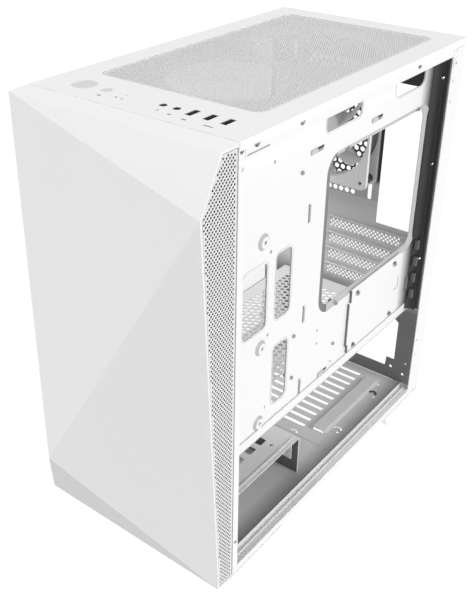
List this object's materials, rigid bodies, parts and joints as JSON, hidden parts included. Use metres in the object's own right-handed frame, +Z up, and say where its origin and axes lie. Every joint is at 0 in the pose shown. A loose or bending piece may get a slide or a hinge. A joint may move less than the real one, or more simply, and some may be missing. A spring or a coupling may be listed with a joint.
{
  "type": "desktop computer tower case",
  "caption": "Micro-ATX tower case with folded front face, top vent and controls, motherboard tray, rear fan, drive cage, feet and a removable glass side.",
  "frame": {"origin": "middle of the case's outline at floor level", "axes": "+Z up, front face towards -Y, open cable side towards +X, glass side towards -X"},
  "size_m": [0.2197, 0.4116, 0.436],
  "materials": {
    "white_steel": "fine powder coat",
    "white_plastic": "satin moulded",
    "mesh_steel": "painted perforated sheet",
    "foot_plastic": "satin moulded",
    "fan_plastic": "satin moulded",
    "button_plastic": "satin moulded",
    "clear_plastic": "clear moulded",
    "board_green": "coated board",
    "socket_metal": "plated",
    "black_plastic": "moulded",
    "pad_rubber": "matt",
    "side_glass": "clear, lightly tinted",
    "screw_steel": "nickel plated",
    "standoff_brass": "plain"
  },
  "bodies": {
    "chassis": {"bottom_pan": "white_steel", "rear_panel": "white_steel", "rear_flange_left": "white_steel", "rear_flange_right": "white_steel", "slot_bracket": "white_steel", "motherboard_tray": "white_steel", "front_plate": "white_steel", "top_frame": "white_steel", "psu_shroud": "white_steel", "ssd_plate": "white_steel", "ssd_plate_screws": "screw_steel", "board_standoffs": "standoff_brass", "drive_cage": "white_steel", "drive_cage_bracket": "white_steel", "slot_cover_1": "white_steel", "slot_cover_2": "white_steel", "slot_cover_3": "white_steel", "slot_cover_4": "white_steel", "slot_cover_screws": "screw_steel", "rear_fan_frame": "fan_plastic", "rear_fan_screws": "screw_steel", "top_cover": "white_plastic", "power_light_pipe": "clear_plastic", "drive_light_pipe": "clear_plastic", "io_board": "board_green", "usb_sockets": "socket_metal", "audio_sockets": "black_plastic", "foot_front_left": "foot_plastic", "foot_front_right": "foot_plastic", "foot_rear_left": "foot_plastic", "foot_rear_right": "foot_plastic", "foot_pads": "pad_rubber", "chassis_rivets": "screw_steel"},
    "front_panel": {"front_panel": "white_plastic", "front_panel_clips": "white_plastic", "front_mesh_left": "mesh_steel", "front_mesh_right": "mesh_steel"},
    "top_vent": {"top_vent_mesh": "mesh_steel"},
    "side_glass": {"glass_panel": "side_glass", "glass_panel_grommets": "pad_rubber", "glass_panel_screws": "screw_steel"},
    "power_key": {"power_button": "button_plastic"},
    "reset_key": {"reset_button": "button_plastic"},
    "fan_rotor": {"rear_fan_rotor": "fan_plastic"}
  },
  "joints": [
    {"name": "power_button_press", "type": "slide", "parent": "chassis", "child": "power_key", "axis": [0, 0, -1], "range_m": [0, 0.0016], "stiffness_N_per_m": 400},
    {"name": "reset_button_press", "type": "slide", "parent": "chassis", "child": "reset_key", "axis": [0, 0, -1], "range_m": [0, 0.0012], "stiffness_N_per_m": 400},
    {"name": "rear_fan_spin", "type": "hinge", "parent": "chassis", "child": "fan_rotor", "pos_m": [-0.0208, 0.168, 0.3308], "axis": [0, 1, 0], "continuous": true},
    {"name": "front_panel_pull", "type": "slide", "parent": "chassis", "child": "front_panel", "axis": [0, -1, 0], "range_m": [0, 0.1]},
    {"name": "top_vent_lift", "type": "slide", "parent": "chassis", "child": "top_vent", "axis": [0, 0, 1], "range_m": [0, 0.06]},
    {"name": "side_glass_remove", "type": "slide", "parent": "chassis", "child": "side_glass", "axis": [-1, 0, 0], "range_m": [0, 0.08]}
  ]
}
